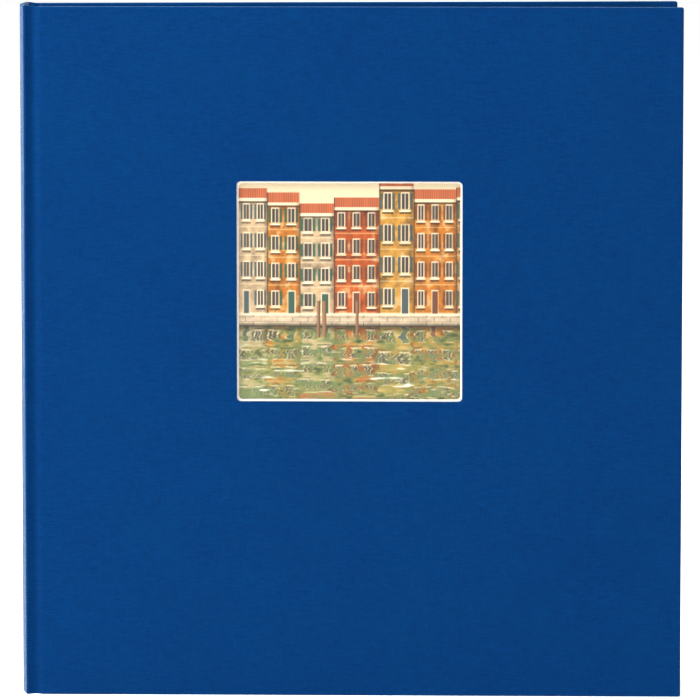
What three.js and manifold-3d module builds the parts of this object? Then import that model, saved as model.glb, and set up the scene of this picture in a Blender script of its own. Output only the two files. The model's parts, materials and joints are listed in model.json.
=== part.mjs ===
// A case-bound scrapbook album with cloth covers and a picture window, standing on its tail edges.
//
// Millimetres, +Z up. The spine is on the -X side and the front cover faces -Y. The origin is on
// the surface the album stands on, below the middle of its box. "Out" is the distance from the
// album's middle plane (y = 0), which each cover takes on its own side of that plane.
import * as THREE from 'three';
import { mergeVertices } from 'three/addons/utils/BufferGeometryUtils.js';
import { ConvexGeometry } from 'three/addons/geometries/ConvexGeometry.js';
import Module from 'manifold-3d';

const wasm = await Module();
wasm.setup();

// ---- Driving dimensions ----

const albumWidth = 298; // from the spine's crown to the covers' fore-edges
const coverHeight = 312; // head to tail, cloth included
const spineThickness = 31; // across the two covers at their joints
const foreEdgeSpread = 53; // across the covers' fore-edges as the album stands

const spineRound = 2.2; // how far the crown stands out behind the spine's two ridges
const grooveWidth = 7.8; // from a ridge of the spine to the edge of the board
const grooveDepth = 1.8;
const hingeStandOff = 0.4; // the cover turns about a line this far outside its own face

const clothThickness = 0.4;
const turnInWidth = 15; // cloth folded over onto the inside of a board
const boardThickness = 2.5;
const windowBoardThickness = 1.2; // the outer of the front cover's two boards
const spineCardThickness = 0.9;
const spineCardEdgeGap = 0.7; // from the card's edges to the cloth that turns into the groove

const windowWidth = 101.5; // the opening at the face of the cloth
const windowHeight = 99.5;
const windowFromForeEdge = 98.9;
const windowFromHead = 78.4;
const windowBevel = 0.9; // how much the cut edge slopes inwards on each side
const windowCornerRadius = 1.8;
const printThickness = 0.25;
const printMargin = 8; // hidden border of the print on each side of the window

const leafCount = 30;
const leafThickness = 0.4;
const leafInset = 4.5; // the covers' overhang at the head and the tail
const leafForeEdgeInset = 5; // the covers' overhang at the fore-edge
const flyleafThickness = 0.2;
const pastedownThickness = 0.2;
const pastedownInset = 4; // from the cover's edges to the pastedown's edges
const creaseFromBoard = 0.6; // from the board's spine edge to the first crease
const creaseStep = 0.5; // each crease nearer the middle is this much further from the spine

const hollowDepth = 1.5; // the open gap between the spine card and the block's lining
const liningThickness = 0.2;
const gauzeThickness = 0.3;
const bandHeight = 1.8;
const bandThickness = 1.6;

const glueGap = 0.15; // between layers that are glued face to face
const creaseGap = 0.5; // from the guards to the creases, so that the leaves turn freely
const pageGap = 0.3; // from the pastedowns to the page space
const cutPast = 5; // how far a cutting shape reaches past what it cuts

const arcSteps = 24;
const grooveSteps = 12; // over a whole groove, so half of them on each side of its middle
const cornerSteps = 4;

// ---- Places worked out from them ----

const halfSpine = spineThickness / 2;
const crownX = -albumWidth / 2;
const ridgeX = crownX + spineRound;
const grooveX = ridgeX + grooveWidth / 2;
const boardStartX = ridgeX + grooveWidth;
const hingeOut = halfSpine + hingeStandOff;

const coverRun = albumWidth / 2 - grooveX; // hinge line to fore-edge, measured along X
const splay = Math.atan((foreEdgeSpread - spineThickness) / 2 / coverRun);
const coverReach = coverRun / Math.cos(splay);
const boardStart = boardStartX - grooveX; // from the hinge line, along the cover

const boardOuter = halfSpine - clothThickness - glueGap;
const boardInner = boardOuter - boardThickness;
const turnInInner = boardInner - glueGap - clothThickness;
const pastedownOuter = turnInInner - glueGap;
const pastedownInner = pastedownOuter - pastedownThickness;
const boardEdge = clothThickness + glueGap; // the cloth's edge to the board's edge

const arcRadius = (spineRound ** 2 + halfSpine ** 2) / (2 * spineRound);
const arcCentreX = crownX + arcRadius;
const cardOuterRadius = arcRadius - clothThickness - glueGap;
const liningOuterRadius = cardOuterRadius - spineCardThickness - hollowDepth;
const gauzeOuterRadius = liningOuterRadius - liningThickness - glueGap;
const blockRadius = gauzeOuterRadius - gauzeThickness - glueGap;

const pageHalf = pastedownInner - pageGap;
const sheetCount = leafCount + 2; // the leaves and the two flyleaves
const sheetPitch = (2 * pageHalf) / sheetCount;
const leafBottom = leafInset;
const leafTop = coverHeight - leafInset;
const firstCreaseX = boardStartX + creaseFromBoard;
const leafEndX = albumWidth / 2 - leafForeEdgeInset;

// ---- Making solids ----

function extrudeUp(outline, bottom, top) {
  const shape = new THREE.Shape(outline.map(([x, y]) => new THREE.Vector2(x, y)));
  const geometry = new THREE.ExtrudeGeometry(shape, { depth: top - bottom, bevelEnabled: false });
  return geometry.translate(0, 0, bottom);
}

// A block between two corners, each [x, y, z], in any order along y.
function block(from, to) {
  const size = to.map((value, i) => Math.abs(value - from[i]));
  const middle = to.map((value, i) => (value + from[i]) / 2);
  return new THREE.BoxGeometry(...size).translate(...middle);
}

function toManifold(geometry) {
  const bare = geometry.clone();
  bare.deleteAttribute('normal');
  bare.deleteAttribute('uv');
  const merged = mergeVertices(bare, 1e-4);
  return new wasm.Manifold(new wasm.Mesh({
    numProp: 3,
    vertProperties: new Float32Array(merged.attributes.position.array),
    triVerts: new Uint32Array(merged.index.array),
  }));
}

function toGeometry(solid) {
  const mesh = solid.getMesh();
  const geometry = new THREE.BufferGeometry();
  geometry.setAttribute('position', new THREE.BufferAttribute(mesh.vertProperties, 3));
  geometry.setIndex(new THREE.BufferAttribute(mesh.triVerts, 1));
  geometry.computeVertexNormals();
  return geometry;
}

// The first geometry, with the others joined to it or cut from it.
function combine(first, { add = [], cut = [] }) {
  let solid = toManifold(first);
  for (const geometry of add) solid = solid.add(toManifold(geometry));
  for (const geometry of cut) solid = solid.subtract(toManifold(geometry));
  return toGeometry(solid);
}

const album = new THREE.Group();

function addPiece(parent, name, geometry, material) {
  const mesh = new THREE.Mesh(geometry, material);
  mesh.name = name;
  parent.add(mesh);
}

const paint = (color, roughness) => new THREE.MeshStandardMaterial({ color, roughness, metalness: 0 });
const clothMaterial = paint(0x053e7c, 0.8);
const boardMaterial = paint(0xd8d6cf, 0.9);
const cardMaterial = paint(0xb9a88c, 0.9);
const leafMaterial = paint(0xf6f1e6, 0.85);
const endpaperMaterial = paint(0xf3efe4, 0.8);
const printMaterial = paint(0xc9964f, 0.35);
const gauzeMaterial = paint(0xe9e6dc, 0.95);
const bandMaterial = paint(0xdfe4ee, 0.7);

// ---- The spine ----

// Points on an arc of the spine, from one edge to the other, |out| up to halfWidth.
function arcPoints(radius, halfWidth) {
  const halfAngle = Math.asin(halfWidth / radius);
  return Array.from({ length: arcSteps + 1 }, (_, i) => {
    const angle = halfAngle * ((2 * i) / arcSteps - 1);
    return [arcCentreX - radius * Math.cos(angle), radius * Math.sin(angle)];
  });
}

function arcBand(outerRadius, thickness, halfWidth, bottom, top) {
  const outer = arcPoints(outerRadius, halfWidth);
  const inner = arcPoints(outerRadius - thickness, halfWidth).reverse();
  return extrudeUp([...outer, ...inner], bottom, top);
}

// How deep the cloth dips at a distance from the middle of the groove.
const grooveDip = (distance) => grooveDepth * (1 + Math.cos((2 * Math.PI * distance) / grooveWidth)) / 2;

// [distance from the groove's middle, out] along half a groove, from the middle to reach.
function groovePoints(reach, face) {
  return Array.from({ length: grooveSteps / 2 + 1 }, (_, i) => {
    const distance = (reach * i) / (grooveSteps / 2);
    return [distance, face - grooveDip(distance)];
  });
}

// The cloth over the spine, from the middle of the front groove round to that of the back groove.
function spineCloth() {
  const innerFace = halfSpine - clothThickness;
  const innerArc = arcPoints(arcRadius - clothThickness, innerFace);
  const outerGroove = groovePoints(-grooveWidth / 2, halfSpine);
  const innerGroove = groovePoints(innerArc[0][0] - grooveX, innerFace).slice(0, -1);
  const side = (points, sign) => points.map(([distance, out]) => [grooveX + distance, sign * out]);
  const outline = [
    ...side(outerGroove, -1),
    ...arcPoints(arcRadius, halfSpine).slice(1, -1),
    ...side(outerGroove, 1).reverse(),
    ...side(innerGroove, 1),
    ...innerArc.reverse(),
    ...side(innerGroove, -1).reverse(),
  ];
  return extrudeUp(outline, 0, coverHeight);
}

function addSpine() {
  const cardHalf = halfSpine - clothThickness - spineCardEdgeGap;
  addPiece(album, 'spine_cloth', spineCloth(), clothMaterial);
  addPiece(album, 'spine_card',
    arcBand(cardOuterRadius, spineCardThickness, cardHalf, boardEdge, coverHeight - boardEdge), cardMaterial);
  addPiece(album, 'spine_lining',
    arcBand(liningOuterRadius, liningThickness, pageHalf, leafBottom, leafTop), endpaperMaterial);
  addPiece(album, 'spine_gauze',
    arcBand(gauzeOuterRadius, gauzeThickness, pageHalf, leafBottom, leafTop), gauzeMaterial);
}

// ---- The block of pages ----

// Sheet 0 is the front flyleaf, the last one is the back flyleaf, and the leaves lie between them.
const sheetY = (sheet) => sheetPitch * (sheet + 0.5) - pageHalf;
const creaseX = (sheet) => firstCreaseX + creaseStep * Math.min(sheet, sheetCount - 1 - sheet);

// The bound inner edges of all the leaves and the guard strips between them, as one glued block.
// Its front is a low ridge, so that each crease lies clear of those nearer the covers.
function pageGuards() {
  const edgeX = firstCreaseX - creaseGap - creaseStep / 2;
  const ridge = edgeX + (creaseStep * sheetCount) / 2;
  const outline = [...arcPoints(blockRadius, pageHalf), [edgeX, pageHalf], [ridge, 0], [edgeX, -pageHalf]];
  return extrudeUp(outline, leafBottom, leafTop);
}

function addGuards() {
  const bandRadius = blockRadius - glueGap;
  const headBottom = leafTop + glueGap;
  const tailTop = leafBottom - glueGap;
  addPiece(album, 'page_guards', pageGuards(), leafMaterial);
  addPiece(album, 'head_band',
    arcBand(bandRadius, bandThickness, pageHalf, headBottom, headBottom + bandHeight), bandMaterial);
  addPiece(album, 'tail_band',
    arcBand(bandRadius, bandThickness, pageHalf, tailTop - bandHeight, tailTop), bandMaterial);
}

// A sheet hangs on its crease and leans with the covers, fanned evenly between them.
function addSheet(sheet, name, thickness, material) {
  const pivot = new THREE.Group();
  pivot.position.set(creaseX(sheet), sheetY(sheet), 0);
  pivot.rotation.z = splay * ((2 * (sheet + 0.5)) / sheetCount - 1);
  album.add(pivot);
  const width = leafEndX - creaseX(sheet);
  addPiece(pivot, name,
    block([0, -thickness / 2, leafBottom], [width, thickness / 2, leafTop]), material);
}

function addSheets() {
  addSheet(0, 'front_flyleaf', flyleafThickness, endpaperMaterial);
  for (let leaf = 1; leaf <= leafCount; leaf += 1) {
    addSheet(leaf, `leaf_${String(leaf).padStart(2, '0')}`, leafThickness, leafMaterial);
  }
  addSheet(sheetCount - 1, 'back_flyleaf', flyleafThickness, endpaperMaterial);
}

// ---- The covers ----

// A cover's group has its origin on its hinge line. side is -1 for the front cover, 1 for the back.
// Inside it, x runs along the cover to the fore-edge and y is side * (out - hingeOut).
function makeCover(side) {
  const cover = new THREE.Group();
  cover.position.set(grooveX, side * hingeOut, 0);
  cover.rotation.z = side * splay;
  album.add(cover);
  const y = (out) => side * (out - hingeOut);
  // A plate between two distances out, with its edges set in from the cover's edges.
  const plate = (outer, inner, start, inset) => block(
    [start, y(outer), inset],
    [coverReach - inset, y(inner), coverHeight - inset],
  );
  return { cover, y, plate };
}

// The cloth on one cover: its face, the edges, the turn-ins, and its own half of the groove.
function coverCloth({ y, plate }, cuts) {
  const wrap = plate(halfSpine, turnInInner, boardStart, 0);
  const face = halfSpine - clothThickness;
  const outer = groovePoints(boardStart, halfSpine);
  const inner = groovePoints(boardStart, face).reverse();
  const overlap = boardStart + clothThickness; // the groove's cloth runs this far into the face
  const outline = [...outer, [overlap, halfSpine], [overlap, face], ...inner];
  const groove = extrudeUp(outline.map(([x, out]) => [x, y(out)]), 0, coverHeight);
  const boardSpace = block(
    [boardStart - cutPast, y(boardOuter + glueGap), clothThickness],
    [coverReach - clothThickness, y(boardInner - glueGap), coverHeight - clothThickness],
  );
  const turnInOpening = block(
    [boardStart - cutPast, y(boardInner), turnInWidth],
    [coverReach - turnInWidth, y(turnInInner - cutPast), coverHeight - turnInWidth],
  );
  const wrapped = toGeometry(toManifold(wrap).subtract(toManifold(boardSpace)));
  return combine(wrapped, { add: [groove], cut: [turnInOpening, ...cuts] });
}

// The window's cut: a rounded rectangle that narrows inwards from the cloth's face by the bevel.
function windowCut({ y }, bevelDepth) {
  const middleX = coverReach - windowFromForeEdge - windowWidth / 2;
  const middleZ = coverHeight - windowFromHead - windowHeight / 2;
  const ring = (out) => {
    const grow = (windowBevel * (out - halfSpine)) / bevelDepth;
    const cornerX = windowWidth / 2 - windowCornerRadius + grow;
    const cornerZ = windowHeight / 2 - windowCornerRadius + grow;
    const points = [];
    for (let i = 0; i < 4 * (cornerSteps + 1); i += 1) {
      const quarter = Math.floor(i / (cornerSteps + 1));
      const angle = ((i - quarter) / cornerSteps) * (Math.PI / 2);
      const signX = quarter === 0 || quarter === 3 ? 1 : -1;
      const signZ = quarter < 2 ? 1 : -1;
      points.push(new THREE.Vector3(
        middleX + signX * cornerX + windowCornerRadius * Math.cos(angle),
        y(out),
        middleZ + signZ * cornerZ + windowCornerRadius * Math.sin(angle),
      ));
    }
    return points;
  };
  return new ConvexGeometry([...ring(halfSpine + bevelDepth), ...ring(halfSpine - 2 * bevelDepth)]);
}

// A plate as wide as the print, between two distances out, grown by a clearance at its edges.
function printPlate({ y }, outer, inner, clearance) {
  const border = printMargin + clearance;
  const right = coverReach - windowFromForeEdge + border;
  const top = coverHeight - windowFromHead + border;
  return block(
    [right - windowWidth - 2 * border, y(outer), top - windowHeight - 2 * border],
    [right, y(inner), top],
  );
}

function addFrontCover() {
  const frame = makeCover(-1);
  const { cover, plate } = frame;
  const windowBoardInner = boardOuter - windowBoardThickness;
  const backingOuter = windowBoardInner - glueGap;
  const printInner = backingOuter - printThickness;
  const pocketFloor = printInner - glueGap;
  const cut = windowCut(frame, halfSpine - windowBoardInner);
  addPiece(cover, 'front_cloth', coverCloth(frame, [cut]), clothMaterial);
  addPiece(cover, 'front_window_board',
    combine(plate(boardOuter, windowBoardInner, boardStart, boardEdge), { cut: [cut] }), boardMaterial);
  addPiece(cover, 'front_backing_board',
    combine(plate(backingOuter, boardInner, boardStart, boardEdge), {
      cut: [printPlate(frame, backingOuter + cutPast, pocketFloor, glueGap)],
    }), boardMaterial);
  addPiece(cover, 'window_print', printPlate(frame, backingOuter, printInner, 0), printMaterial);
  addPiece(cover, 'front_pastedown',
    plate(pastedownOuter, pastedownInner, boardStart, pastedownInset), endpaperMaterial);
}

function addBackCover() {
  const frame = makeCover(1);
  const { cover, plate } = frame;
  addPiece(cover, 'back_cloth', coverCloth(frame, []), clothMaterial);
  addPiece(cover, 'back_board', plate(boardOuter, boardInner, boardStart, boardEdge), boardMaterial);
  addPiece(cover, 'back_pastedown',
    plate(pastedownOuter, pastedownInner, boardStart, pastedownInset), endpaperMaterial);
}

addSpine();
addGuards();
addSheets();
addFrontCover();
addBackCover();

export default album;
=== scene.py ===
"""The looks of a cloth-bound scrapbook album with a picture window, standing on its tail edges.

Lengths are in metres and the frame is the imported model's: +Z up, the spine at -X, the front cover
facing -Y. "Out" is the distance from the album's middle plane (y = 0) and "along" is the distance
from a cover's hinge line towards its fore-edge.
"""

import json
import math

import bpy
import numpy as np
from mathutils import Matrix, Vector


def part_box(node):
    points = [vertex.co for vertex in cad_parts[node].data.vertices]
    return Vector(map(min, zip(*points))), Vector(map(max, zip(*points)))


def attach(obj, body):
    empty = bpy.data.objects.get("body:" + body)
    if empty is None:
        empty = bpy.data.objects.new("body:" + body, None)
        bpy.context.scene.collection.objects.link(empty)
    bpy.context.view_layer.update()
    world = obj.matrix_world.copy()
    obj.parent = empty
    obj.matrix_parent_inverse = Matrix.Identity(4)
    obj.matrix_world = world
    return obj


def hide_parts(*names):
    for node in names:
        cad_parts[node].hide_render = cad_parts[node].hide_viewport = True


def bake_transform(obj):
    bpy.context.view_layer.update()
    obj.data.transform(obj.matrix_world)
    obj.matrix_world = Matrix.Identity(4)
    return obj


MM = 0.001

# ---- Sizes that the frame doesn't give ----

CLOTH_THICKNESS = 0.4 * MM
CORNER_ROUND = 0.9 * MM  # of the covers' corners, seen from the front
EDGE_ROUND = 0.7 * MM  # of the cloth where it folds over a board's edge
RIDGE_ROUND = 1.0 * MM  # of the spine's two ridges
TURN_IN = 15 * MM
MITRE_GAP = 0.08 * MM
SPINE_FOLD = 2.0 * MM  # two layers of cloth with the card between them
GROOVE_FOLD = 0.95 * MM  # two layers of cloth
HEADCAP_RISE = 0.5 * MM  # the spine's cloth stands this much above the boards at the head
SEAM_OUT = 13.0 * MM  # where the spine's cloth passes to a cover's piece
WINDOW_MARGIN = 2 * MM
WINDOW_ROUND = 1.8 * MM
THREAD = 0.45 * MM  # from one thread of the bookcloth to the next

# ---- Camera ----

CAMERA_AZIMUTH = -0.6
CAMERA_ELEVATION = 6.272
CAMERA_DISTANCE = 2.974
CAMERA_AIM = (-0.0001, 0.0, 0.1552)
CAMERA_LENS = 337.2
SENSOR_WIDTH = 36

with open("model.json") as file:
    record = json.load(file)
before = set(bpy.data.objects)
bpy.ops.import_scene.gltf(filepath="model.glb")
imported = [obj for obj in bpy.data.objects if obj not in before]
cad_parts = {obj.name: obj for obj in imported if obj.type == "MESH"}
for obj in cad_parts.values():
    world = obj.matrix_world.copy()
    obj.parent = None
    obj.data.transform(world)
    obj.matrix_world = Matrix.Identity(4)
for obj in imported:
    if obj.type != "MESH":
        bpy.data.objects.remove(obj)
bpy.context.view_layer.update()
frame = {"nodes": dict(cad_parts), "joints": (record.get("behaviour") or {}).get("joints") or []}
HINGES = {joint["child"]: Vector(joint["pos_m"]) for joint in frame["joints"]}


# ---- Reading the frame ----


def node_corners(name):
    """The distinct corners of a CAD node."""
    points = np.array([vertex.co for vertex in frame["nodes"][name].data.vertices])
    return np.unique(points.round(7), axis=0)


def lean_of(plate):
    """The angle from +X of a plate's length, seen from above."""
    plan = node_corners(plate)[:, :2]
    plan = np.unique(plan.round(6), axis=0)
    values, vectors = np.linalg.eigh(np.cov((plan - plan.mean(0)).T))
    x, y = vectors[:, np.argmax(values)]
    return math.atan(y / x)


def half_width_at(name, x):
    """How far out a node reaches at one place along X."""
    points = node_corners(name)
    return np.abs(points[np.abs(points[:, 0] - x) < 0.01 * MM, 1]).max()


class Cover:
    """A cover's own directions: along it from the hinge line, out from the middle plane, and up."""

    def __init__(self, side, body, board):
        self.side = side
        self.body = body
        self.hinge = HINGES[body]
        self.lean = lean_of(board)

    def local(self, name):
        """(along, out, up) of each corner of a CAD node."""
        points = node_corners(name)
        dx = points[:, 0] - self.hinge.x
        dy = points[:, 1] - self.hinge.y
        along = dx * math.cos(self.lean) + dy * math.sin(self.lean)
        across = dy * math.cos(self.lean) - dx * math.sin(self.lean)
        return np.column_stack([along, self.side * (across + self.hinge.y), points[:, 2]])

    def plan(self, along, out, share=1.0):
        """The plan point at a distance along and out, with a share of the cover's lean."""
        lean = self.lean * share
        across = self.side * out - self.hinge.y
        return (
            self.hinge.x + along * math.cos(lean) - across * math.sin(lean),
            self.hinge.y + along * math.sin(lean) + across * math.cos(lean),
        )


FRONT = Cover(-1, "front_cover", "front_pastedown")
BACK = Cover(1, "back_cover", "back_pastedown")

spine_low, spine_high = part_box("spine_cloth")
HEIGHT = spine_high.z
HALF_SPINE = spine_high.y
CROWN_X = spine_low.x
COVER_REACH = FRONT.local("front_cloth")[:, 0].max()
BOARD_START = BACK.local("back_board")[:, 0].min()
BOARD_FOLD = HALF_SPINE - BACK.local("back_cloth")[:, 1].min()
HINGE_X = FRONT.hinge.x
RIDGE_X = HINGE_X - BOARD_START
GROOVE_DEPTH = HALF_SPINE - half_width_at("spine_cloth", HINGE_X)
SPINE_RADIUS = ((RIDGE_X - CROWN_X) ** 2 + HALF_SPINE**2) / (2 * (RIDGE_X - CROWN_X))
SPINE_CENTRE_X = CROWN_X + SPINE_RADIUS


# ---- Meshes ----


def make_mesh(name, vertices, faces, uvs=None, material=None, flip=False):
    """A shaded mesh object from lists of points and faces, with one UV for each point."""
    if flip:
        faces = [tuple(reversed(face)) for face in faces]
    mesh = bpy.data.meshes.new(name)
    mesh.from_pydata([tuple(point) for point in vertices], [], faces)
    if uvs is not None:
        corners = np.empty(len(mesh.loops), np.int32)
        mesh.loops.foreach_get("vertex_index", corners)
        layer = mesh.uv_layers.new(name="UVMap")
        layer.data.foreach_set("uv", np.array(uvs, np.float32)[corners].ravel())
    if material is not None:
        mesh.materials.append(material)
    mesh.update()
    mesh.shade_smooth()
    piece = bpy.data.objects.new(name, mesh)
    bpy.context.scene.collection.objects.link(piece)
    return piece


def apply_modifiers(piece, sharp_degrees=45):
    """Turns the modified shape into the piece's own mesh, with its hard edges kept hard."""
    graph = bpy.context.evaluated_depsgraph_get()
    mesh = bpy.data.meshes.new_from_object(piece.evaluated_get(graph))
    piece.modifiers.clear()
    piece.data = mesh
    mesh.shade_smooth()
    mesh.set_sharp_from_angle(angle=math.radians(sharp_degrees))


def thicken(piece, thickness):
    """Gives a sheet its thickness, on the side that its faces look away from."""
    solidify = piece.modifiers.new("thickness", "SOLIDIFY")
    solidify.thickness = thickness
    solidify.offset = -1
    apply_modifiers(piece)


def ramp(value, start, end):
    """0 before start, 1 after end, and smooth in between."""
    share = np.clip((value - start) / (end - start), 0, 1)
    return share * share * (3 - 2 * share)


def spaced(start, end, step):
    """Values from start to end, both included, no more than a step apart."""
    return np.linspace(start, end, max(2, math.ceil(abs(end - start) / step - 1e-9) + 1))


# ---- The bookcloth ----


def groove_dip(along):
    """How deep the joint's groove is at a distance from the hinge line."""
    inside = np.abs(along) < BOARD_START
    return np.where(inside, GROOVE_DEPTH * (1 + np.cos(np.pi * along / BOARD_START)) / 2, 0)


def spine_points():
    """(x, out) from the crown's middle over the arc and round the ridge, with the seam's index."""
    corner = math.asin(HALF_SPINE / SPINE_RADIUS)
    turn = math.pi / 2 - corner
    tangent = RIDGE_ROUND * math.tan(turn / 2)
    start = np.array([RIDGE_X, HALF_SPINE]) - tangent * np.array([math.sin(corner), math.cos(corner)])
    centre = start + RIDGE_ROUND * np.array([math.cos(corner), -math.sin(corner)])
    outs = np.concatenate([spaced(0, SEAM_OUT, 1.3 * MM), [13.8 * MM, 14.4 * MM]])
    seam = len(outs) - 3
    angles = np.arcsin(outs / SPINE_RADIUS)
    arc = np.column_stack([SPINE_CENTRE_X - SPINE_RADIUS * np.cos(angles), SPINE_RADIUS * np.sin(angles)])
    turned = corner + np.linspace(0, turn, 8)
    ridge = centre - RIDGE_ROUND * np.column_stack([np.cos(turned), -np.sin(turned)])
    return np.vstack([arc, ridge]), seam, RIDGE_X + tangent - HINGE_X


class Wrap:
    """The outer face of the cloth from the crown's middle to a fore-edge, as columns seen in plan."""

    def __init__(self, cover, board_columns):
        around, self.seam, groove_start = spine_points()
        spine_part = np.column_stack([around[:, 0], cover.side * around[:, 1]])
        groove = spaced(groove_start, BOARD_START, 0.33 * MM)[1:]
        alongs = np.concatenate([groove, board_columns])
        shares = ramp(alongs, -BOARD_START, BOARD_START)
        outs = HALF_SPINE - groove_dip(alongs)
        flat = [cover.plan(a, o, s) for a, o, s in zip(alongs, outs, shares, strict=True)]
        self.plan = np.vstack([spine_part, flat])
        steps = np.linalg.norm(np.diff(self.plan, axis=0), axis=1)
        self.length = np.concatenate([[0], np.cumsum(steps)])
        self.tangent = np.gradient(self.plan, self.length, axis=0)
        self.tangent[0] = (0, cover.side)
        self.tangent[-1] = self.tangent[-2]
        self.tangent /= np.linalg.norm(self.tangent, axis=1)[:, None]
        self.inward = cover.side * np.column_stack([self.tangent[:, 1], -self.tangent[:, 0]])
        deeper = [cover.plan(a, o - MM, s) for a, o, s in zip(alongs, outs, shares, strict=True)]
        self.inward[len(around):] = (np.array(deeper) - np.array(flat)) / MM
        self.along = np.concatenate([np.full(len(around), -1.0), alongs])
        on_card = np.abs(self.plan[:, 1]) < 14.5 * MM
        on_spine = (self.along < -0.5) & on_card
        stepped = GROOVE_FOLD + (BOARD_FOLD - GROOVE_FOLD) * ramp(self.along, 1.6 * MM, 3.6 * MM)
        self.fold = np.where(on_spine, SPINE_FOLD, stepped)
        self.rise = HEADCAP_RISE * (1 - ramp(self.along, -3 * MM, 2 * MM))

    def board_length(self, along):
        """The length from the crown's middle at a distance along the board."""
        return self.length[-1] + along - self.along[-1]


class Columns:
    """The columns that one piece of cloth is made on."""

    def __init__(self, plan, tangent, inward, length, fold, rise):
        self.plan = plan
        self.tangent = tangent
        self.inward = inward
        self.length = length
        self.fold = fold
        self.rise = rise


def section(fold, reach):
    """(outwards, deep, unrolled) of the cloth where it folds over an edge and turns in."""
    edge = min(EDGE_ROUND, 0.46 * fold)
    start = CORNER_ROUND - edge
    angles = np.linspace(0, math.pi / 2, 7)
    over = [(start + edge * math.sin(a), edge * (1 - math.cos(a))) for a in angles]
    under = [(start + edge * math.cos(a), fold - edge + edge * math.sin(a)) for a in angles]
    inner = [(value, fold) for value in np.linspace(start, CORNER_ROUND - reach, 4)[1:]]
    points = np.array(over + under + inner)
    steps = np.linalg.norm(np.diff(points, axis=0), axis=1)
    return points, start + np.concatenate([[0], np.cumsum(steps)])


class ClothBuilder:
    """Collects the points and faces of one piece of cloth."""

    def __init__(self, columns, rows):
        self.columns = columns
        self.rows = rows
        self.points = []
        self.uvs = []
        self.faces = []

    def add(self, column, row, direction=(0, 0), outwards=0.0, deep=0.0, unrolled=0.0):
        """Adds a point beside a grid point and returns its index."""
        c = self.columns
        plan = c.plan[column] + c.tangent[column] * direction[0] * outwards + c.inward[column] * deep
        up = self.rows[row] + direction[1] * outwards
        lift = c.rise[column] * float(ramp(up, HEIGHT - 9 * MM, HEIGHT - 1 * MM))
        self.points.append((plan[0], plan[1], up + lift))
        u = c.length[column] + direction[0] * unrolled
        self.uvs.append((u, self.rows[row] + direction[1] * unrolled))
        return len(self.points) - 1

    def add_grid(self, hole=None):
        """The flat part, as quads between columns and rows, without those inside a hole."""
        many = len(self.rows)
        self.grid = np.array(
            [[self.add(i, j) for j in range(many)] for i in range(len(self.columns.length))]
        )
        for i in range(len(self.columns.length) - 1):
            for j in range(many - 1):
                if hole and hole[0] <= i < hole[1] and hole[2] <= j < hole[3]:
                    continue
                g = self.grid
                self.faces.append((g[i, j], g[i + 1, j], g[i + 1, j + 1], g[i, j + 1]))

    def add_fold(self, stations):
        """The folded edge along a path of stations, each (column, row, direction, reach)."""
        rings = []
        for column, row, direction, reach in stations:
            points, unrolled = section(self.columns.fold[column], reach)
            ring = [self.grid[column, row]]
            for (outwards, deep), length in zip(points, unrolled, strict=True):
                ring.append(self.add(column, row, direction, outwards, deep, length))
            rings.append(ring)
        for a, b in zip(rings, rings[1:], strict=False):
            for k in range(len(a) - 1):
                face = (a[k + 1], b[k + 1], b[k], a[k])
                self.faces.append(face[:3] if a[k] == b[k] else face)


def corner_directions(start_degrees):
    """Directions inside a quarter turn from a starting one, where 0 is along and 90 is up."""
    angles = [math.radians(start_degrees + turned) for turned in (15, 30, 45, 60, 75)]
    return [(math.cos(angle), math.sin(angle)) for angle in angles]


def edge_stations(columns, rows, end_length):
    """The path along the tail, up the fore-edge and back along the head."""
    last, top = len(columns.length) - 1, len(rows) - 1

    def shortened(distance):
        return TURN_IN if distance >= TURN_IN else distance - MITRE_GAP

    path = [(i, 0, (0, -1), shortened(end_length - columns.length[i])) for i in range(last + 1)]
    corner_reach = CORNER_ROUND - MITRE_GAP
    path += [(last, 0, direction, corner_reach) for direction in corner_directions(-90)]
    path += [(last, j, (1, 0), shortened(min(rows[j], HEIGHT - rows[j]))) for j in range(top + 1)]
    path += [(last, top, direction, corner_reach) for direction in corner_directions(0)]
    heads = [(i, top, (0, 1), shortened(end_length - columns.length[i])) for i in range(last + 1)]
    return path + heads[::-1]


def near_edge_lines():
    """Distances from an edge at which the turn-ins of two edges meet along their mitre."""
    return np.array([CORNER_ROUND, 2.5 * MM, 5 * MM, 8 * MM, 11.5 * MM, TURN_IN])


def window_box():
    """(along, along, up, up) of the window's opening in the face of the cloth."""
    points = FRONT.local("front_cloth")
    middle = (points[:, 0] > 0.1 * COVER_REACH) & (points[:, 0] < COVER_REACH - TURN_IN - MM)
    level = (points[:, 2] > TURN_IN + MM) & (points[:, 2] < HEIGHT - TURN_IN - MM)
    at_face = points[:, 1] > HALF_SPINE - 0.01 * MM
    hole = points[middle & level & at_face]
    return hole[:, 0].min(), hole[:, 0].max(), hole[:, 2].min(), hole[:, 2].max()


def lines_with_hole(start, end, low, high):
    """Grid lines from start to end that frame a hole between low and high."""
    before = spaced(start, low - WINDOW_MARGIN, 12 * MM)
    across = spaced(low + WINDOW_ROUND, high - WINDOW_ROUND, 12 * MM)
    after = spaced(high + WINDOW_MARGIN, end, 12 * MM)
    return np.concatenate([before, across, after]), len(before) - 1, len(before) + len(across)


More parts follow.
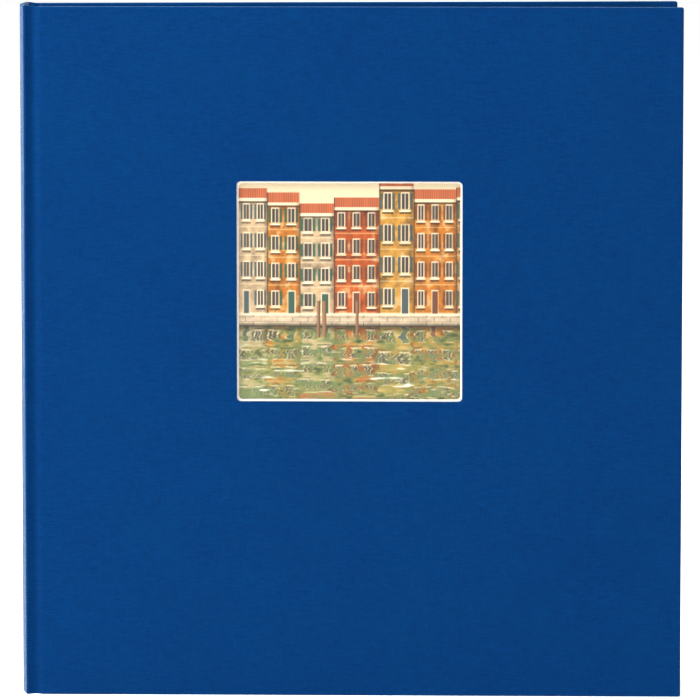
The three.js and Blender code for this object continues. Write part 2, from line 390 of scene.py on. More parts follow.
def add_window_edge(cloth, hole, window, wrap):
    """Joins the grid round the window to the opening's rounded outline."""
    i0, i1, j0, j1 = hole
    lengths = [wrap.board_length(value) for value in window[:2]]
    low_u, high_u = lengths
    low_v, high_v = window[2:]
    r = WINDOW_ROUND
    c = cloth.columns

    def rim(u, v):
        column = np.array([np.interp(u, c.length, c.plan[:, axis]) for axis in (0, 1)])
        cloth.points.append((column[0], column[1], v))
        cloth.uvs.append((u, v))
        return len(cloth.points) - 1

    def corner(centre_u, centre_v, start_degrees):
        return [
            rim(centre_u + r * x, centre_v + r * y) for x, y in corner_directions(start_degrees)
        ]

    g = cloth.grid
    pairs = [(g[i0, j0], k) for k in corner(low_u + r, low_v + r, 180)]
    pairs += [(g[i, j0], rim(c.length[i], low_v)) for i in range(i0 + 1, i1)]
    pairs += [(g[i1, j0], k) for k in corner(high_u - r, low_v + r, 270)]
    pairs += [(g[i1, j], rim(high_u, cloth.rows[j])) for j in range(j0 + 1, j1)]
    pairs += [(g[i1, j1], k) for k in corner(high_u - r, high_v - r, 0)]
    pairs += [(g[i, j1], rim(c.length[i], high_v)) for i in range(i1 - 1, i0, -1)]
    pairs += [(g[i0, j1], k) for k in corner(low_u + r, high_v - r, 90)]
    pairs += [(g[i0, j], rim(low_u, cloth.rows[j])) for j in range(j1 - 1, j0, -1)]
    for (a, inner_a), (b, inner_b) in zip(pairs, pairs[1:] + pairs[:1], strict=True):
        face = (a, b, inner_b, inner_a) if a != b else (a, inner_b, inner_a)
        cloth.faces.append(face)


def cover_cloth(cover, name, window, material):
    """The cloth of one cover, from the seam on the spine over the groove to the fore-edge."""
    near = near_edge_lines()
    flat_start = BOARD_START + 1.5 * MM
    if window:
        alongs, i0, i1 = lines_with_hole(flat_start, COVER_REACH - TURN_IN, *window[:2])
        rows, j0, j1 = lines_with_hole(TURN_IN, HEIGHT - TURN_IN, *window[2:])
    else:
        alongs = spaced(flat_start, COVER_REACH - TURN_IN, 12 * MM)
        rows = spaced(TURN_IN, HEIGHT - TURN_IN, 12 * MM)
    board_columns = np.concatenate([[BOARD_START + 0.5 * MM], alongs, COVER_REACH - near[-2::-1]])
    rows = np.concatenate([near[:-1], rows, HEIGHT - near[-2::-1]])
    wrap = Wrap(cover, board_columns)
    kept = slice(wrap.seam, None)
    columns = Columns(
        wrap.plan[kept], wrap.tangent[kept], wrap.inward[kept], wrap.length[kept],
        wrap.fold[kept], wrap.rise[kept],
    )
    cloth = ClothBuilder(columns, rows)
    hole = None
    if window:
        first = len(columns.length) - len(board_columns) + 1
        hole = (first + i0, first + i1, len(near) - 1 + j0, len(near) - 1 + j1)
    cloth.add_grid(hole)
    if window:
        add_window_edge(cloth, hole, window, wrap)
    end_length = columns.length[-1] + CORNER_ROUND
    cloth.add_fold(edge_stations(columns, rows, end_length))
    uvs = np.array(cloth.uvs) * (-cover.side, 1)
    piece = make_mesh(name, cloth.points, cloth.faces, uvs, material, flip=cover.side > 0)
    thicken(piece, CLOTH_THICKNESS)
    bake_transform(piece)
    return piece


def spine_cloth(material):
    """The cloth over the spine's arc, between the seams to the covers' pieces."""
    wraps = [Wrap(cover, np.array([BOARD_START + MM, BOARD_START + 2 * MM])) for cover in (BACK, FRONT)]
    seam = wraps[0].seam
    order = [(wraps[0], i) for i in range(seam, -1, -1)] + [(wraps[1], i) for i in range(1, seam + 1)]
    columns = Columns(
        np.array([w.plan[i] for w, i in order]),
        np.array([w.tangent[i] for w, i in order]),
        np.array([w.inward[i] for w, i in order]),
        np.array([w.length[i] * (1 if w is wraps[1] else -1) for w, i in order]),
        np.array([w.fold[i] for w, i in order]),
        np.array([w.rise[i] for w, i in order]),
    )
    near = near_edge_lines()
    rows = np.concatenate([
        near[:-1], spaced(TURN_IN, HEIGHT - TURN_IN, 12 * MM), HEIGHT - near[-2::-1],
    ])
    cloth = ClothBuilder(columns, rows)
    cloth.add_grid()
    last, top = len(columns.length) - 1, len(rows) - 1
    cloth.add_fold([(i, 0, (0, -1), TURN_IN) for i in range(last + 1)])
    cloth.add_fold([(i, top, (0, 1), TURN_IN) for i in range(last, -1, -1)])
    piece = make_mesh("spine_bookcloth", cloth.points, cloth.faces, cloth.uvs, material)
    thicken(piece, CLOTH_THICKNESS)
    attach(piece, "spine")
    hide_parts("spine_cloth")
    return piece


# ---- Materials ----


class Shader:
    """A material's node tree, with short calls for the nodes that the looks use."""

    def __init__(self, name):
        self.material = bpy.data.materials.new(name)
        self.material.use_nodes = True
        self.tree = self.material.node_tree
        self.surface = next(n for n in self.tree.nodes if n.type == "BSDF_PRINCIPLED")

    def node(self, kind, inputs=None, **settings):
        made = self.tree.nodes.new(kind)
        for key, value in settings.items():
            setattr(made, key, value)
        for key, value in (inputs or {}).items():
            self.feed(made.inputs[key], value)
        return made

    def feed(self, socket, value):
        if isinstance(value, bpy.types.NodeSocket):
            self.tree.links.new(value, socket)
        else:
            socket.default_value = value

    def set(self, **sockets):
        """Sets the surface shader's sockets, with _ for a space in their names."""
        for key, value in sockets.items():
            self.feed(self.surface.inputs[key.replace("_", " ")], value)

    def math(self, operation, a, b=0.0):
        return self.node("ShaderNodeMath", {0: a, 1: b}, operation=operation).outputs[0]

    def place(self, output, scale):
        """A texture place, from UV or object coordinates, stretched by a scale for each axis."""
        source = self.node("ShaderNodeTexCoord").outputs[output]
        mapped = self.node("ShaderNodeMapping", {"Vector": source, "Scale": scale})
        return mapped.outputs[0]

    def noise(self, where, detail=2.0, roughness=0.5, distortion=0.0):
        inputs = {"Vector": where, "Scale": 1.0, "Detail": detail, "Roughness": roughness,
                  "Distortion": distortion}
        return self.node("ShaderNodeTexNoise", inputs).outputs[0]

    def span(self, value, low, high, to_low=0.0, to_high=1.0):
        inputs = {"Value": value, "From Min": low, "From Max": high, "To Min": to_low, "To Max": to_high}
        return self.node("ShaderNodeMapRange", inputs).outputs[0]

    def mix(self, share, a, b):
        """A colour between two colours, each (r, g, b) or a socket."""
        made = self.node("ShaderNodeMix", data_type="RGBA")
        for socket, value in zip((made.inputs[0], made.inputs[6], made.inputs[7]), (share, a, b),
                                 strict=True):
            self.feed(socket, (*value, 1.0) if isinstance(value, tuple) else value)
        return made.outputs[2]

    def bump(self, height, distance, strength=1.0):
        inputs = {"Height": height, "Distance": distance, "Strength": strength}
        return self.node("ShaderNodeBump", inputs).outputs[0]


def linear(red, green, blue):
    """A colour given in display values from 0 to 255, as the shader's linear values."""
    values = [value / 255 for value in (red, green, blue)]
    return tuple(v / 12.92 if v <= 0.04045 else ((v + 0.055) / 1.055) ** 2.4 for v in values)


def bookcloth_material():
    """Fine plain-woven linen: threads over and under each other, with painted shade in the gaps between them,
    slubs and a soft sheen.
    """
    s = Shader("bookcloth")
    uv = s.node("ShaderNodeSeparateXYZ", {0: s.node("ShaderNodeTexCoord").outputs["UV"]})
    wobble = s.noise(s.place("UV", (120, 120, 1)), detail=2)
    drift = s.math("MULTIPLY", s.math("SUBTRACT", wobble, 0.5), 0.9)
    across = s.math("ADD", s.math("MULTIPLY", uv.outputs[0], 1 / THREAD), drift)
    upward = s.math("ADD", s.math("MULTIPLY", uv.outputs[1], 1 / THREAD), drift)

    def thread_noise(along, number, length):
        """Each thread's own thick and thin stretches along it, from its number."""
        seed = s.math("MULTIPLY", s.math("FLOOR", number), 7.31)
        place = s.node("ShaderNodeCombineXYZ", {0: s.math("MULTIPLY", along, 1 / length), 1: seed})
        return s.noise(place.outputs[0], detail=2, roughness=0.6)

    weft_slub = thread_noise(uv.outputs[0], upward, 5 * MM)
    warp_slub = thread_noise(uv.outputs[1], across, 5 * MM)
    sine_across = s.math("SINE", s.math("MULTIPLY", across, math.pi))
    sine_upward = s.math("SINE", s.math("MULTIPLY", upward, math.pi))
    crossing = s.math("MULTIPLY", sine_across, sine_upward)
    warp_on_top = s.span(crossing, -0.3, 0.3)
    mound = s.math("POWER", s.math("ABSOLUTE", crossing), 0.5)
    weft_tone = s.mix(s.span(weft_slub, 0.3, 0.7), linear(0, 49, 102), linear(3, 67, 125))
    warp_tone = s.mix(s.span(warp_slub, 0.3, 0.7), linear(0, 28, 73), linear(1, 44, 95))
    threads = s.mix(warp_on_top, weft_tone, warp_tone)
    # painted shade: where the threads dip between their crossings the colour turns to a darker blue
    shaded = s.mix(s.span(mound, 0.0, 0.75), linear(0, 23, 58), threads)
    mottle = s.noise(s.place("UV", (28, 22, 1)), detail=4, roughness=0.6)
    toned = s.mix(s.span(mottle, 0.35, 0.65, 0.0, 0.14), shaded, linear(1, 54, 97))
    slubs = s.math("MULTIPLY", s.math("ADD", weft_slub, warp_slub), 1.3)
    height = s.math("ADD", mound, slubs)
    rough = s.span(slubs, 0.9, 1.7, 0.7, 0.84)
    s.set(Base_Color=toned, Roughness=rough, Specular_IOR_Level=0.03, Sheen_Weight=0.64,
          Sheen_Roughness=0.2, Sheen_Tint=(0.6, 0.82, 1.0, 1.0), Normal=s.bump(height, 0.09 * MM, 0.9))
    return s.material


def board_material(name, pale, dark, layer=0.0):
    """Pressed board or card: short fibres, specks and a soft matt surface."""
    s = Shader(name)
    fibres = s.noise(s.place("Object", (900, 900, 2600)), detail=4, roughness=0.65)
    cloud = s.noise(s.place("Object", (120, 120, 120)), detail=3)
    tone = s.mix(s.span(fibres, 0.35, 0.65), dark, pale)
    speck = s.noise(s.place("Object", (1500, 1500, 1500)), detail=1)
    tone = s.mix(s.span(speck, 0.68, 0.76, 0.0, 0.35), tone, tuple(value * 0.6 for value in dark))
    tone = s.mix(s.span(cloud, 0.3, 0.7, 0.0, 0.16), tone, dark)
    height = s.math("ADD", fibres, s.math("MULTIPLY", cloud, layer))
    s.set(Base_Color=tone, Roughness=s.span(fibres, 0.3, 0.7, 0.82, 0.95), Specular_IOR_Level=0.25,
          Normal=s.bump(height, 0.06 * MM, 0.6))
    return s.material


def paper_material(name, pale, dark, grain=1.0):
    """Uncoated paper with a fine tooth and a cloudy formation."""
    s = Shader(name)
    tooth = s.noise(s.place("Object", (2200, 2200, 2200)), detail=3, roughness=0.6)
    cloud = s.noise(s.place("Object", (70, 70, 70)), detail=4, roughness=0.6)
    fibre = s.noise(s.place("Object", (400, 400, 1600)), detail=2)
    tone = s.mix(s.span(cloud, 0.3, 0.7), dark, pale)
    tone = s.mix(s.span(fibre, 0.6, 0.75, 0.0, 0.25), tone, dark)
    height = s.math("ADD", tooth, s.math("MULTIPLY", fibre, 0.5))
    s.set(Base_Color=tone, Roughness=s.span(tooth, 0.3, 0.7, 0.74, 0.88), Specular_IOR_Level=0.3,
          Normal=s.bump(height, 0.05 * MM, 0.5 * grain))
    return s.material


def guard_material():
    """The glued stack of leaf ends and guard strips, seen as fine layers on its edges."""
    s = Shader("page_guards")
    layers = s.noise(s.place("Object", (12, 4200, 12)), detail=2, roughness=0.7)
    cloud = s.noise(s.place("Object", (90, 90, 90)), detail=3)
    tone = s.mix(s.span(layers, 0.35, 0.65), linear(186, 176, 156), linear(248, 242, 228))
    tone = s.mix(s.span(cloud, 0.4, 0.75, 0.0, 0.3), tone, linear(214, 203, 180))
    s.set(Base_Color=tone, Roughness=s.span(layers, 0.3, 0.7, 0.8, 0.92), Specular_IOR_Level=0.25,
          Normal=s.bump(layers, 0.15 * MM, 0.8))
    return s.material


def gauze_material():
    """Open mull gauze soaked in glue, with its threads and the pale glue between them."""
    s = Shader("gauze")
    parts = s.node("ShaderNodeSeparateXYZ", {0: s.node("ShaderNodeTexCoord").outputs["Object"]})
    turns = 2 * math.pi / (0.9 * MM)
    upward = s.math("SINE", s.math("MULTIPLY", parts.outputs[2], turns))
    across = s.math("SINE", s.math("MULTIPLY", parts.outputs[1], turns))
    threads = s.span(s.math("MAXIMUM", upward, across), 0.2, 0.7)
    tone = s.mix(threads, linear(216, 202, 168), linear(240, 236, 224))
    s.set(Base_Color=tone, Roughness=s.span(threads, 0.0, 1.0, 0.7, 0.95),
          Normal=s.bump(threads, 0.12 * MM, 0.8))
    return s.material


def band_material():
    """The headbands' silk: blue and white threads side by side over the bead, with painted shade in the
    grooves between the threads.
    """
    s = Shader("band")
    uv = s.node("ShaderNodeSeparateXYZ", {0: s.node("ShaderNodeTexCoord").outputs["UV"]})
    wave = s.math("SINE", s.math("MULTIPLY", uv.outputs[0], 2 * math.pi / (2.6 * MM)))
    thread = s.math("SINE", s.math("MULTIPLY", uv.outputs[0], 2 * math.pi / (0.35 * MM)))
    tone = s.mix(s.span(wave, -0.15, 0.15), linear(20, 66, 132), linear(238, 238, 232))
    # painted shade: the grooves between the silk threads are darkened to a deep blue
    tone = s.mix(s.span(thread, -1.0, 0.2, 0.35, 0.0), tone, linear(8, 24, 52))
    s.set(Base_Color=tone, Roughness=s.span(thread, -1.0, 1.0, 0.65, 0.45),
          Sheen_Weight=0.3, Normal=s.bump(thread, 0.08 * MM, 0.9))
    return s.material


def interleaf_material():
    """Thin translucent glassine with a fine parchment mottle."""
    s = Shader("glassine")
    mottle = s.noise(s.place("Object", (260, 260, 260)), detail=4, roughness=0.65, distortion=0.6)
    tone = s.mix(s.span(mottle, 0.35, 0.65), linear(226, 224, 214), linear(246, 245, 238))
    s.set(Base_Color=tone, Roughness=s.span(mottle, 0.3, 0.7, 0.28, 0.45), Alpha=0.55,
          Normal=s.bump(mottle, 0.06 * MM, 0.5))
    return s.material


def print_material():
    """A satin photographic print: the painted picture under fine grain."""
    s = Shader("print")
    picture = s.node("ShaderNodeVertexColor", layer_name="picture").outputs[0]
    grain = s.noise(s.place("Object", (2600, 2600, 2600)), detail=1)
    tone = s.mix(s.span(grain, 0.3, 0.7, 0.0, 0.1), picture, linear(70, 58, 40))
    orange_peel = s.noise(s.place("Object", (700, 700, 700)), detail=2)
    s.set(Base_Color=tone, Roughness=s.span(orange_peel, 0.3, 0.7, 0.3, 0.42),
          Specular_IOR_Level=0.4, Normal=s.bump(orange_peel, 0.02 * MM, 0.3))
    return s.material


def studio_material():
    """The pale lit table that the album stands on."""
    s = Shader("studio")
    cloud = s.noise(s.place("Object", (3, 3, 3)), detail=2)
    tone = s.mix(cloud, (0.86, 0.86, 0.86), (0.9, 0.9, 0.9))
    s.set(Base_Color=tone, Roughness=0.5, Specular_IOR_Level=0.3,
          Emission_Color=(1.0, 1.0, 1.0, 1.0), Emission_Strength=0.55)
    return s.material


# ---- The picture in the window ----

PICTURE_STEP = 0.34 * MM
PRINT_BRIGHTNESS = 0.8


def smooth_noise(x, y, seed):
    """Noise between 0 and 1 whose features are one unit wide."""
    table = np.random.default_rng(seed).random((64, 64))
    cell_x, cell_y = np.floor(x).astype(int), np.floor(y).astype(int)
    share_x, share_y = x - cell_x, y - cell_y
    share_x = share_x * share_x * (3 - 2 * share_x)
    share_y = share_y * share_y * (3 - 2 * share_y)

    def corner(dx, dy):
        return table[(cell_x + dx) % 64, (cell_y + dy) % 64]

    low = corner(0, 0) * (1 - share_x) + corner(1, 0) * share_x
    high = corner(0, 1) * (1 - share_x) + corner(1, 1) * share_x
    return low * (1 - share_y) + high * share_y


def layered_noise(x, y, seed):
    """Smooth noise with finer noise over it."""
    total = smooth_noise(x, y, seed) + 0.5 * smooth_noise(2.1 * x, 2.1 * y, seed + 1)
    return (total + 0.25 * smooth_noise(4.3 * x, 4.3 * y, seed + 2)) / 1.75


class Picture:
    """A painted picture of a row of houses by water. x and y are 0 to 1 over the window."""

    def __init__(self, x, y):
        self.x = x
        self.y = y
        self.colour = np.zeros((*x.shape, 3))

    def paint(self, share, colour):
        """Lays a display colour over the picture where share is above 0."""
        share = np.clip(share, 0, 1)[..., None]
        self.colour = self.colour * (1 - share) + np.asarray(colour, float) / 255 * share

    def shade(self, share, factor):
        self.colour *= 1 - np.clip(share, 0, 1)[..., None] * (1 - factor)


WALL_COLOURS = [(236, 138, 34), (240, 204, 156), (226, 98, 26), (214, 150, 84), (240, 172, 66)]
SHUTTER_COLOURS = [(46, 94, 74), (124, 66, 42), (72, 92, 96)]
PLASTER = (248, 208, 150)
TRIM = (246, 224, 188)
GLASS = (58, 50, 44)
ROOF_TILE = (200, 104, 62)
SKY_LOW = (250, 216, 160)
SKY_HIGH = (226, 206, 168)
QUAY_STONE = (232, 206, 168)
WATER = (144, 146, 78)
ROW_SEED = 5
STOREYS = 4
ROOF_HEIGHT = 0.045
STONE_LENGTH = 0.07
COURSE_HEIGHT = 0.02
QUAY_TOP = 0.40
QUAY_FOOT = 0.34


def row_of_houses():
    """The row from one seed: (left, right, wall, shutter, storey height) of each house."""
    rng = np.random.default_rng(ROW_SEED)
    houses = []
    left, wall = -0.05, 0
    while left < 1.1:
        right = left + rng.uniform(0.12, 0.2)
        wall = (wall + rng.integers(1, len(WALL_COLOURS))) % len(WALL_COLOURS)
        shutter = rng.integers(len(SHUTTER_COLOURS))
        storey = rng.uniform(0.112, 0.148)
        houses.append((left, right, WALL_COLOURS[wall], SHUTTER_COLOURS[shutter], storey))
        left = right
    return houses


def paint_openings(picture, inside, house):
    """Plain shuttered windows in rows, with doors on the ground floor."""
    left, right, _, shutter, storey = house
    across = 2 if right - left < 0.16 else 3
    pitch = (right - left) / across
    half = 0.2 * pitch
    aside = np.abs(np.mod(picture.x - left, pitch) - pitch / 2)
    level = np.mod(picture.y - QUAY_TOP, storey)
    column = np.floor((picture.x - left) / pitch)
    ground = (picture.y < QUAY_TOP + storey) & (column == across // 2)
    low, high = np.where(ground, 0.0, 0.28 * storey), 0.78 * storey
    tall = (level > low) & (level < high)
    leaf = inside & ~ground & tall & (aside > 1.35 * half) & (aside < 2.1 * half)
    picture.paint(leaf * 0.9, shutter)
    picture.shade(leaf * (np.sin(level * 1000) > 0.1), 0.72)
    border = inside & (aside < 1.2 * half) & (level > low - 0.004) & (level < high + 0.005)
    picture.paint(border * 0.95, TRIM)
    picture.paint((inside & tall & (aside < half)) * 0.95, GLASS)
    picture.paint((inside & tall & ground & (aside < half)) * 0.7, shutter)
    picture.paint((inside & tall & ~ground & (aside < 0.0016)) * 0.8, TRIM)
    under = inside & ~ground & (aside < 1.6 * half)
    picture.paint((under & (np.abs(level - low + 0.009) < 0.0035)) * 1.0, TRIM)
    picture.shade((under & (np.abs(level - low + 0.017) < 0.005)) * 1.0, 0.55)


def paint_house(picture, house, seed):
    """One plain front: weathered plaster, string courses, openings, a cornice and a tiled roof."""
    left, right, wall, _, storey = house
    x, y = picture.x, picture.y
    eaves = QUAY_TOP + storey * STOREYS
    between = (x >= left) & (x < right)
    inside = between & (y >= QUAY_TOP) & (y < eaves)
    picture.paint(inside * 1.0, wall)
    picture.shade(inside * layered_noise(x * 42, y * 38, seed), 0.7)
    worn = layered_noise(x * 26, y * 20, seed + 3)
    picture.paint(inside * np.clip((worn - 0.56) * 4, 0, 0.6), PLASTER)
    picture.shade(inside * np.clip((0.36 - worn) * 5, 0, 1), 0.68)
    picture.shade(inside * layered_noise(x * 95, y * 95, seed + 5), 0.8)
    picture.paint((inside & (np.mod(y - QUAY_TOP, storey) < 0.005)) * 0.45, TRIM)
    picture.shade(inside * np.clip(1 - (eaves - y) / 0.07, 0, 1), 0.72)
    paint_openings(picture, inside, house)
    picture.paint((inside & (y > eaves - 0.014)) * 0.9, TRIM)
    picture.shade((inside & (np.abs(y - eaves + 0.018) < 0.005)) * 1.0, 0.6)
    roof = between & (y >= eaves) & (y < eaves + ROOF_HEIGHT)
    picture.paint(roof * 1.0, ROOF_TILE)
    picture.shade(roof * (np.sin(x * 640) > 0.2), 0.72)
    picture.shade((between & (y < eaves + ROOF_HEIGHT) & (x - left < 0.005)) * 1.0, 0.5)
    picture.shade(inside * np.clip(1 - (right - x) / 0.018, 0, 1), 0.72)


def paint_houses(picture):
    """The sky with the whole row in front of it."""
    rise = np.clip((picture.y - 0.7) / 0.3, 0, 1)[..., None]
    picture.colour = (np.array(SKY_LOW) * (1 - rise) + np.array(SKY_HIGH) * rise) / 255
    for number, house in enumerate(row_of_houses()):
        paint_house(picture, house, seed=20 + 7 * number)


def paint_quay(picture):
    """A stone quay in front of the houses, with a few plain posts standing in the water."""
    x, y = picture.x, picture.y
    quay = (y >= QUAY_FOOT) & (y < QUAY_TOP)
    picture.paint(quay * 1.0, QUAY_STONE)
    picture.shade(quay * layered_noise(x * 34, y * 60, 71), 0.72)
    course = np.floor((y - QUAY_FOOT) / COURSE_HEIGHT)
    upright = np.mod(x + 0.5 * STONE_LENGTH * np.mod(course, 2), STONE_LENGTH) < 0.003
    level = np.mod(y - QUAY_FOOT, COURSE_HEIGHT) < 0.0025
    picture.shade((quay & (upright | level)) * 1.0, 0.6)
    picture.paint((quay & (y > QUAY_TOP - 0.01)) * 0.9, TRIM)
    picture.shade(quay * np.clip(1 - (y - QUAY_FOOT) / 0.018, 0, 1), 0.3)
    for middle in np.random.default_rng(ROW_SEED + 1).uniform(0.06, 0.94, 4):
        post = (np.abs(x - middle) < 0.007) & (y > QUAY_FOOT - 0.05) & (y < QUAY_TOP + 0.055)
        picture.paint(post * 1.0, (150, 108, 74))
        picture.shade((post & (x > middle + 0.001)) * 1.0, 0.62)


def paint_water(picture):
    """Green water that mirrors the row in broken ripples, with a few pale glints."""
    x, y = picture.x, picture.y
    depth = QUAY_FOOT - y
    wave = layered_noise(x * 9, y * 34, 61)
    fine = layered_noise(x * 22, y * 62, 67)
    ripple = wave + fine - 1
    swing = ripple * (0.03 + 0.16 * np.clip(depth, 0, 1))
    mirrored = Picture(x + swing, QUAY_TOP + 1.5 * np.clip(depth, 0, 1) + 0.3 * swing)
    paint_houses(mirrored)
    wet = (depth > 0) * 1.0
    picture.paint(wet, WATER)
    picture.paint(wet * np.clip(0.62 + 1.3 * ripple - 0.5 * depth, 0, 0.85), mirrored.colour * 255)
    picture.paint(wet * np.clip((0.46 - fine) * 3, 0, 0.6), (84, 104, 62))
    picture.paint(wet * np.clip((wave - 0.5) * 3, 0, 0.6) * np.clip(depth * 3, 0, 1), (120, 142, 88))
    picture.shade(wet * np.clip((-0.25 - ripple) * 4, 0, 1), 0.6)
    crest = np.clip((layered_noise(x * 8, y * 58, 77) - 0.72) * 12, 0, 1) * np.clip(depth * 4, 0, 1)
    picture.paint(wet * crest * 0.9, (252, 248, 224))
    picture.shade(wet * np.clip(1 - depth / 0.03, 0, 1), 0.45)


def paint_picture(x, y, step_x, step_y):
    """The picture's colours at each point, each the mean of four samples round it."""
    total = 0
    for shift_x, shift_y in ((-1, -1), (1, -1), (-1, 1), (1, 1)):
        picture = Picture(x + shift_x * step_x / 4, y + shift_y * step_y / 4)
        paint_houses(picture)
        paint_water(picture)
        paint_quay(picture)
        total = total + np.clip(picture.colour, 0, 1)
    return total / 4


def window_print(window, material):
    """The print behind the window: a thin sheet whose face carries the painted picture."""
    box = FRONT.local("window_print")
    (u0, u1), (out0, out1), (v0, v1) = [(box[:, k].min(), box[:, k].max()) for k in range(3)]
    us = np.concatenate([[u0], spaced(window[0] - MM, window[1] + MM, PICTURE_STEP), [u1]])
    vs = np.concatenate([[v0], spaced(window[2] - MM, window[3] + MM, PICTURE_STEP), [v1]])
    grid_u, grid_v = np.meshgrid(us, vs, indexing="ij")
    many_u, many_v = grid_u.shape
    plan_x, plan_y = FRONT.plan(grid_u, np.full_like(grid_u, out1))
    front = np.column_stack([plan_x.ravel(), plan_y.ravel(), grid_v.ravel()])
    index = np.arange(many_u * many_v).reshape(many_u, many_v)
    quads = np.stack([index[:-1, :-1], index[1:, :-1], index[1:, 1:], index[:-1, 1:]], -1)
    rim = np.concatenate([index[:-1, 0], index[-1, :-1], index[:0:-1, -1], index[0, :0:-1]])
    behind_x, behind_y = FRONT.plan(grid_u.ravel()[rim], np.full(len(rim), out0))
    behind = np.column_stack([behind_x, behind_y, grid_v.ravel()[rim]])
    base = len(front)
    many = len(rim)
    faces = [tuple(face) for face in quads.reshape(-1, 4)]
    for k in range(many):
        after = (k + 1) % many
        faces.append((rim[k], base + k, base + after, rim[after]))
    faces.append(tuple(base + k for k in range(many - 1, -1, -1)))
    faces = [tuple(int(k) for k in face) for face in faces]
    piece = make_mesh("window_picture", np.vstack([front, behind]), faces, None, material)
    piece.data.set_sharp_from_angle(angle=math.radians(45))
    x = (grid_u - window[0]) / (window[1] - window[0])
    y = (grid_v - window[2]) / (window[3] - window[2])
    steps = PICTURE_STEP / (window[1] - window[0]), PICTURE_STEP / (window[3] - window[2])
    shown = paint_picture(x, y, *steps).reshape(-1, 3)
    colours = np.where(shown <= 0.04045, shown / 12.92, ((shown + 0.055) / 1.055) ** 2.4)
    rgba = np.ones((base + many, 4), np.float32)
    rgba[:base, :3] = colours * PRINT_BRIGHTNESS
    layer = piece.data.color_attributes.new("picture", "FLOAT_COLOR", "POINT")
    layer.data.foreach_set("color", rgba.ravel())
    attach(piece, "front_cover")
    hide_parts("window_print")
    return piece


# ---- Paper inside the album ----


def joint_strip(cover, name, material):
    """The endpaper's strip from the pastedown's spine edge through the groove to the block."""
    paper = 0.2 * MM
    clear = 0.12 * MM
    inner = HALF_SPINE - CLOTH_THICKNESS - clear
    pastedown_out = BACK.local("back_pastedown")[:, 1].min()
    block_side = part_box("page_guards")[1].y
    groove = spaced(BOARD_START - 0.5 * MM, -BOARD_START + 1.6 * MM, 0.5 * MM)
    route = [(BOARD_START + 3 * MM, pastedown_out - 0.02 * MM)]
    route += [(BOARD_START + 0.3 * MM, pastedown_out - 0.02 * MM)]
    route += [(BOARD_START - 0.25 * MM, pastedown_out + 0.3 * MM)]
    route += [(BOARD_START - 0.45 * MM, inner - 0.8 * MM)]
    route += [(along, inner - float(groove_dip(along))) for along in groove]
    route += [(-BOARD_START + 1.2 * MM, block_side + 1.6 * MM), (-BOARD_START + 1.8 * MM, block_side + paper)]
    route += [(-0.6 * MM, block_side + 0.14 * MM), (1.5 * MM, block_side + 0.14 * MM)]
    low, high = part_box("back_pastedown")[0].z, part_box("back_pastedown")[1].z
    rows = spaced(low + MM, high - MM, 20 * MM)
    points, uvs = [], []
    for along, out in route:
        x, y = cover.plan(along, out, float(ramp(along, -BOARD_START, BOARD_START)))
        points += [(x, y, z) for z in rows]
        uvs += [(along, z) for z in rows]
    many = len(rows)
    faces = []
    for i in range(len(route) - 1):
        for j in range(many - 1):
            a = i * many + j
            faces.append((a, a + 1, a + many + 1, a + many))
    piece = make_mesh(name, points, faces, uvs, material, flip=cover.side > 0)
    thicken(piece, paper)
    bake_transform(piece)
    return piece


def interleaf(number, material):
    """A thin glassine sheet that lies on a leaf and turns with it."""
    leaf = f"leaf_{number:02d}"
    hinge = HINGES[leaf]
    lean = lean_of(leaf)
    low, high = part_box(leaf)
    length = (high.x - hinge.x) / math.cos(lean)
    across = 0.235 * MM
    us = spaced(2 * MM, length - 3 * MM, 30 * MM)
    vs = spaced(low.z + 2 * MM, high.z - 2 * MM, 30 * MM)
    points = []
    for u in us:
        for v in vs:
            x = hinge.x + u * math.cos(lean) - across * math.sin(lean)
            y = hinge.y + u * math.sin(lean) + across * math.cos(lean)
            points.append((x, y, v))
    many = len(vs)
    faces = []
    for i in range(len(us) - 1):
        for j in range(many - 1):
            a = i * many + j
            faces.append((a, a + 1, a + many + 1, a + many))
    piece = make_mesh(f"interleaf_{number:02d}", points, faces, None, material)
    thicken(piece, 0.03 * MM)
    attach(piece, leaf)
    return piece


def head_band(node, name, material):
    """A bead of silk threads along the block's rounded back."""
    low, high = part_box(node)
    depth_high = high.y
    guard_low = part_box("page_guards")[0].x
    radius = SPINE_RADIUS + (CROWN_X - guard_low)
    centre_x = guard_low + radius
    half = depth_high
    angles = np.linspace(-math.asin(half / radius), math.asin(half / radius), 90)
    bead = 0.5 * (high.z - low.z)
    mid_z = 0.5 * (low.z + high.z)
    ring = np.linspace(0, 2 * math.pi, 13)[:-1]
    points, uvs, faces = [], [], []
    for k, angle in enumerate(angles):
        wrapped = 1 + 0.06 * math.sin(k * math.pi / 1.5)
        for turn in ring:
            r = radius - bead - 0.1 * MM + bead * wrapped * math.cos(turn)
            z = mid_z + bead * wrapped * math.sin(turn)
            points.append((centre_x - r * math.cos(angle), r * math.sin(angle), z))
            uvs.append((radius * angle, turn))
    many = len(ring)
    for i in range(len(angles) - 1):
        for j in range(many):
            a, b = i * many + j, i * many + (j + 1) % many
            faces.append((a, b, b + many, a + many))
    faces.append(tuple(range(many - 1, -1, -1)))
    last = (len(angles) - 1) * many
    faces.append(tuple(range(last, last + many)))
    piece = make_mesh(name, points, faces, uvs, material)
    piece.data.set_sharp_from_angle(angle=math.radians(60))
    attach(piece, "spine")
    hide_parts(node)
    return piece


# ---- The studio ----


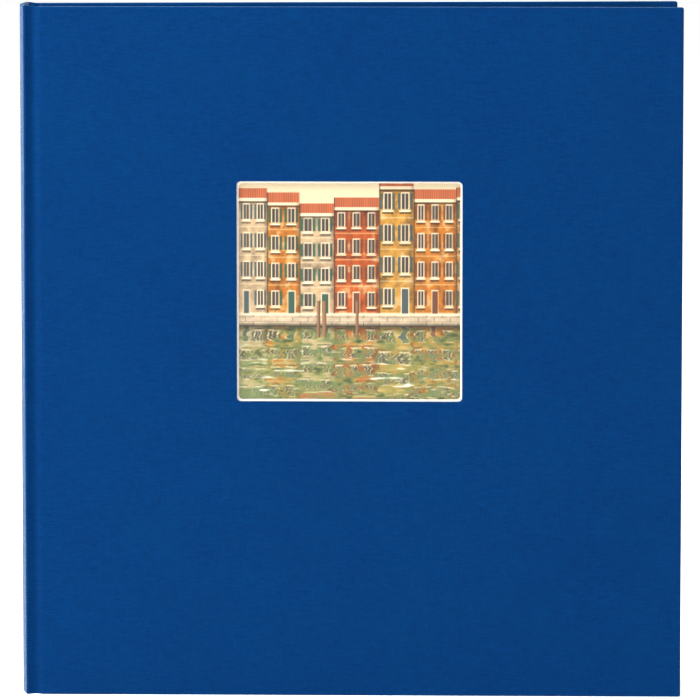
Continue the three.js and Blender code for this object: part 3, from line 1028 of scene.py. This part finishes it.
def add_camera():
    a, e = math.radians(CAMERA_AZIMUTH), math.radians(CAMERA_ELEVATION)
    back = Vector((math.sin(a) * math.cos(e), -math.cos(a) * math.cos(e), math.sin(e)))
    camera = bpy.data.objects.new("camera", bpy.data.cameras.new("camera"))
    bpy.context.scene.collection.objects.link(camera)
    camera.data.sensor_width = SENSOR_WIDTH
    camera.data.lens = CAMERA_LENS
    camera.data.clip_start = 0.05
    camera.data.clip_end = 50
    camera.location = Vector(CAMERA_AIM) + back * CAMERA_DISTANCE
    camera.rotation_mode = "QUATERNION"
    camera.rotation_quaternion = (-back).to_track_quat("-Z", "Y")
    bpy.context.scene.camera = camera


def add_light(name, place, aim, size, power):
    """A square soft light at a place, facing a point."""
    light = bpy.data.lights.new(name, "AREA")
    light.shape = "SQUARE"
    light.size = size
    light.energy = power
    holder = bpy.data.objects.new(name, light)
    bpy.context.scene.collection.objects.link(holder)
    holder.location = place
    direction = Vector(aim) - Vector(place)
    holder.rotation_mode = "QUATERNION"
    holder.rotation_quaternion = direction.to_track_quat("-Z", "Y")


def add_floor(material):
    """The pale floor, a wide disc that reaches past every view's horizon."""
    radius, many = 30.0, 96
    angles = [2 * math.pi * k / many for k in range(many)]
    inner = [(1.5 * math.cos(a), 1.5 * math.sin(a), 0.0) for a in angles]
    outer = [(radius * math.cos(a), radius * math.sin(a), 0.0) for a in angles]
    points = inner + outer
    faces = [tuple(range(many))]
    faces += [(k, many + k, many + (k + 1) % many, (k + 1) % many) for k in range(many)]
    make_mesh("studio_floor", points, faces, None, material)


LIGHTS = [
    # name, place, the point it faces, size, power
    ("key", (-0.66, -0.42, 0.98), (-0.03, 0, 0.27), 0.5, 17.5),
    ("rim", (-1.5, 1.3, 0.7), (0, 0, 0.16), 1.0, 35),
    ("fill", (1.1, -1.6, 1.1), (0, 0, 0.24), 1.2, 3),
    ("top", (-0.2, -0.5, 2.6), (0, 0, 0.2), 2.2, 74),
]
WORLD_BRIGHTNESS = 0.46


def light_studio():
    world = bpy.data.worlds.new("studio")
    world.use_nodes = True
    background = world.node_tree.nodes["Background"]
    background.inputs[0].default_value = (1.0, 1.0, 1.0, 1.0)
    background.inputs[1].default_value = WORLD_BRIGHTNESS
    bpy.context.scene.world = world
    for name, place, aim, size, power in LIGHTS:
        add_light(name, place, aim, size, power)
    bpy.context.scene.view_settings.view_transform = "Standard"


# ---- Putting it together ----


def dress_cad_nodes():
    """Gives each CAD node that stays in sight its own material."""
    grey = board_material("grey_board", linear(218, 215, 204), linear(195, 190, 180))
    card = board_material("spine_card", linear(196, 178, 146), linear(164, 146, 116), layer=0.5)
    paper = paper_material("page_card", linear(205, 199, 184), linear(194, 186, 169))
    endpaper = paper_material("endpaper", linear(207, 204, 195), linear(198, 193, 182), grain=0.7)
    guards = guard_material()
    gauze = gauze_material()
    chosen = {
        "front_window_board": grey, "front_backing_board": grey, "back_board": grey,
        "spine_card": card, "spine_lining": endpaper, "spine_gauze": gauze, "page_guards": guards,
        "front_pastedown": endpaper, "back_pastedown": endpaper,
        "front_flyleaf": endpaper, "back_flyleaf": endpaper,
    }
    for name, node in frame["nodes"].items():
        material = paper if name.startswith("leaf_") else chosen.get(name)
        if material is not None:
            node.data.materials.clear()
            node.data.materials.append(material)
    return endpaper


def main():
    add_camera()
    cloth = bookcloth_material()
    window = window_box()
    spine_cloth(cloth)
    front = cover_cloth(FRONT, "front_bookcloth", window, cloth)
    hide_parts("front_cloth")
    back = cover_cloth(BACK, "back_bookcloth", None, cloth)
    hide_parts("back_cloth")
    window_print(window, print_material())
    endpaper = dress_cad_nodes()
    joint_strip(FRONT, "front_joint_paper", endpaper)
    joint_strip(BACK, "back_joint_paper", endpaper)
    glassine = interleaf_material()
    leaf_count = sum(name.startswith("leaf_") for name in frame["nodes"])
    for number in range(1, leaf_count + 1):
        interleaf(number, glassine)
    silk = band_material()
    head_band("head_band", "head_band_silk", silk)
    head_band("tail_band", "tail_band_silk", silk)
    add_floor(studio_material())
    light_studio()


main()
